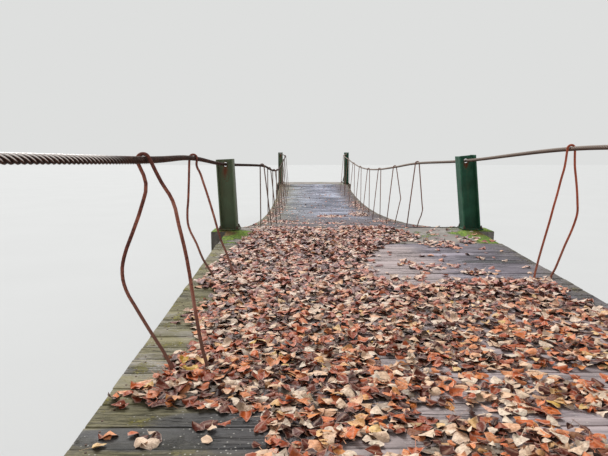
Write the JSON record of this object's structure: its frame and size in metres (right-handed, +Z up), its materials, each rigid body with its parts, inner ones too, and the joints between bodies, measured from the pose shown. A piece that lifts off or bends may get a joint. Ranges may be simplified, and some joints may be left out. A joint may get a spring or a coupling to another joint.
{
  "type": "suspended timber footbridge",
  "caption": "Two-span footbridge: plank deck on bent rod hangers looped over wire hand ropes, through green H-section steel posts on concrete piers.",
  "frame": {"origin": "centre of the bridge's footprint on the level that its piers and abutments stand on", "axes": "+Y along the bridge from its near abutment to its far one, +X to the right across the deck, +Z up"},
  "size_m": [4.1, 36.33, 3.8013],
  "materials": {
    "concrete": "weathered concrete with moss",
    "deck_boards": "bare boards weathered silver grey, lichen",
    "beams": "dark weathered sawn timber",
    "post_paint": "dark green paint, rust streaks",
    "wire_rope": "rusty stranded wire rope",
    "hanger_rods": "rusty bent round bar",
    "anchor_paint": "dark green paint, chipped",
    "sockets": "rusty forged steel"
  },
  "bodies": {
    "root": {"near_abutment": "concrete", "pier_shaft": "concrete", "pier_head": "concrete", "far_abutment": "concrete", "bearing_sleepers": "beams", "near_deck": "deck_boards", "main_deck": "deck_boards", "near_stringers": "beams", "main_stringers": "beams", "near_crossbeams": "beams", "main_crossbeams": "beams", "near_post_left": "post_paint", "near_post_right": "post_paint", "pier_post_left": "post_paint", "pier_post_right": "post_paint", "far_post_left": "post_paint", "far_post_right": "post_paint", "hand_rope_left": "wire_rope", "hand_rope_right": "wire_rope", "near_hanger_left_1": "hanger_rods", "near_hanger_left_2": "hanger_rods", "near_hanger_left_3": "hanger_rods", "near_hanger_right_1": "hanger_rods", "near_hanger_right_2": "hanger_rods", "near_hanger_right_3": "hanger_rods", "main_hangers_left": "hanger_rods", "main_hangers_right": "hanger_rods", "near_anchor_left": "anchor_paint", "near_anchor_right": "anchor_paint", "far_anchor_left": "anchor_paint", "far_anchor_right": "anchor_paint", "near_socket_left": "sockets", "near_socket_right": "sockets", "far_socket_left": "sockets", "far_socket_right": "sockets"}
  },
  "joints": []
}
